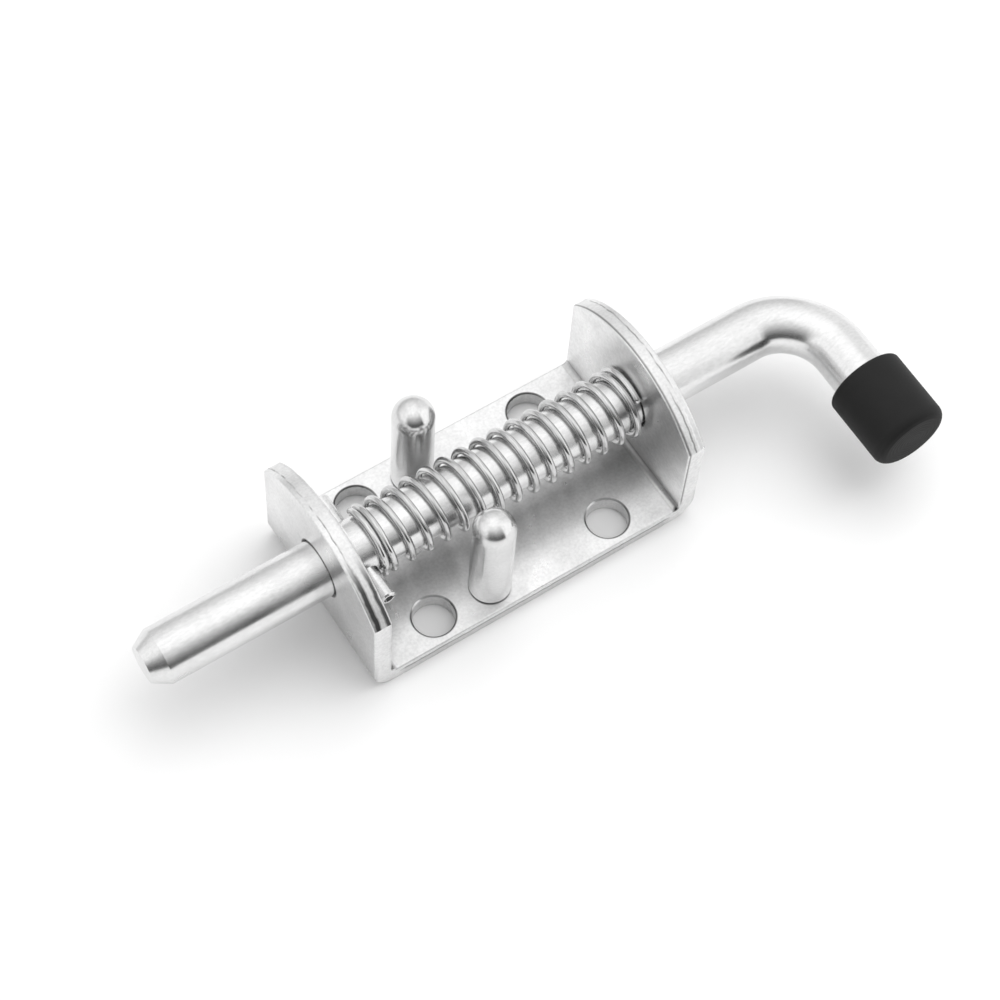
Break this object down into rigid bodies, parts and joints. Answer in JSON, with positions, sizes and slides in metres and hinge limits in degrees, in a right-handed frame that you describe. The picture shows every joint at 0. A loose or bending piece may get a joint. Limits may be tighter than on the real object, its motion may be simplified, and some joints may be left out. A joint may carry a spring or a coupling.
{
  "type": "spring loaded gate latch",
  "caption": "Spring bolt latch: a round bolt with a bent, capped handle slides through a folded plate bracket, pressed out by a coil spring against a cross pin.",
  "frame": {"origin": "centre of the four screw holes, on the bracket's mounting face", "axes": "+Z away from the mounting face, +X along the bolt from its nose to its handle, the handle lying towards -Y"},
  "size_m": [0.1646, 0.0593, 0.036],
  "materials": {
    "plated_sheet": "zinc plated, satin",
    "plated_bar": "zinc plated, bright",
    "plated_pin": "zinc plated",
    "spring_wire": "bright drawn wire",
    "black_cap": "matte"
  },
  "bodies": {
    "bracket": {"bracket": "plated_sheet", "stud_front": "plated_bar", "stud_back": "plated_bar", "stop_washer": "plated_pin"},
    "spring": {"spring": "spring_wire"},
    "bolt": {"bolt": "plated_bar", "cross_pin": "plated_pin", "handle_cap": "black_cap"}
  },
  "joints": [
    {"name": "bolt_slide", "type": "slide", "parent": "bracket", "child": "spring", "axis": [1, 0, 0], "range_m": [0, 0.0164], "stiffness_N_per_m": 1280, "springref_m": -0.01, "deforming": ["spring"]},
    {"name": "bolt_turn", "type": "hinge", "parent": "spring", "child": "bolt", "pos_m": [0, 0, 0.0188], "axis": [-1, 0, 0], "range_deg": [-15, 195]}
  ]
}
